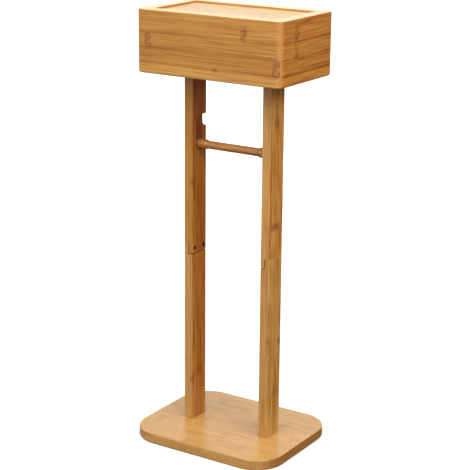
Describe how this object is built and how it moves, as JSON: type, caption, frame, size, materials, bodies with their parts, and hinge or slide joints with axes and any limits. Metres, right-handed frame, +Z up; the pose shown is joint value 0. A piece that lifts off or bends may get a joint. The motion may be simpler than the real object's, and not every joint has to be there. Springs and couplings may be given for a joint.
{
  "type": "toilet paper holder with shelf",
  "caption": "Free-standing bamboo toilet paper holder: a lidded shelf box on two posts over a base board, with a lift-out roll bar between the posts.",
  "frame": {"origin": "on the floor, under the middle of the base board", "axes": "+X to the right along the long side of the box and base, +Y to the back (the slots for the roll bar open to the back), +Z up"},
  "size_m": [0.267, 0.213, 0.701],
  "materials": {
    "bamboo_board": "laminated bamboo board under clear satin lacquer",
    "bamboo_post": "laminated bamboo strip under clear satin lacquer",
    "bamboo_dowel": "turned bamboo under clear satin lacquer",
    "bamboo_box": "laminated bamboo board under clear satin lacquer",
    "screw_steel": "blackened steel"
  },
  "bodies": {
    "stand": {"base_board": "bamboo_board", "post_lower_left": "bamboo_post", "post_lower_right": "bamboo_post", "post_upper_left": "bamboo_post", "post_upper_right": "bamboo_post", "box_front_board": "bamboo_box", "box_back_board": "bamboo_box", "box_left_board": "bamboo_box", "box_right_board": "bamboo_box", "box_bottom_board": "bamboo_box", "ledge_front_left": "bamboo_box", "ledge_front_right": "bamboo_box", "ledge_back": "bamboo_box", "ledge_left": "bamboo_box", "ledge_right": "bamboo_box", "base_screws": "screw_steel", "box_screws": "screw_steel", "lap_screws_left": "screw_steel", "lap_screws_right": "screw_steel"},
    "roll_bar": {"roll_bar": "bamboo_dowel"},
    "lid": {"lid_panel": "bamboo_board"}
  },
  "joints": [
    {"name": "roll_bar_lift", "type": "slide", "parent": "stand", "child": "roll_bar", "axis": [0, 0, 1], "range_m": [0, 0.0369]},
    {"name": "lid_lift", "type": "slide", "parent": "stand", "child": "lid", "axis": [0, 0, 1], "range_m": [0, 0.12]}
  ]
}
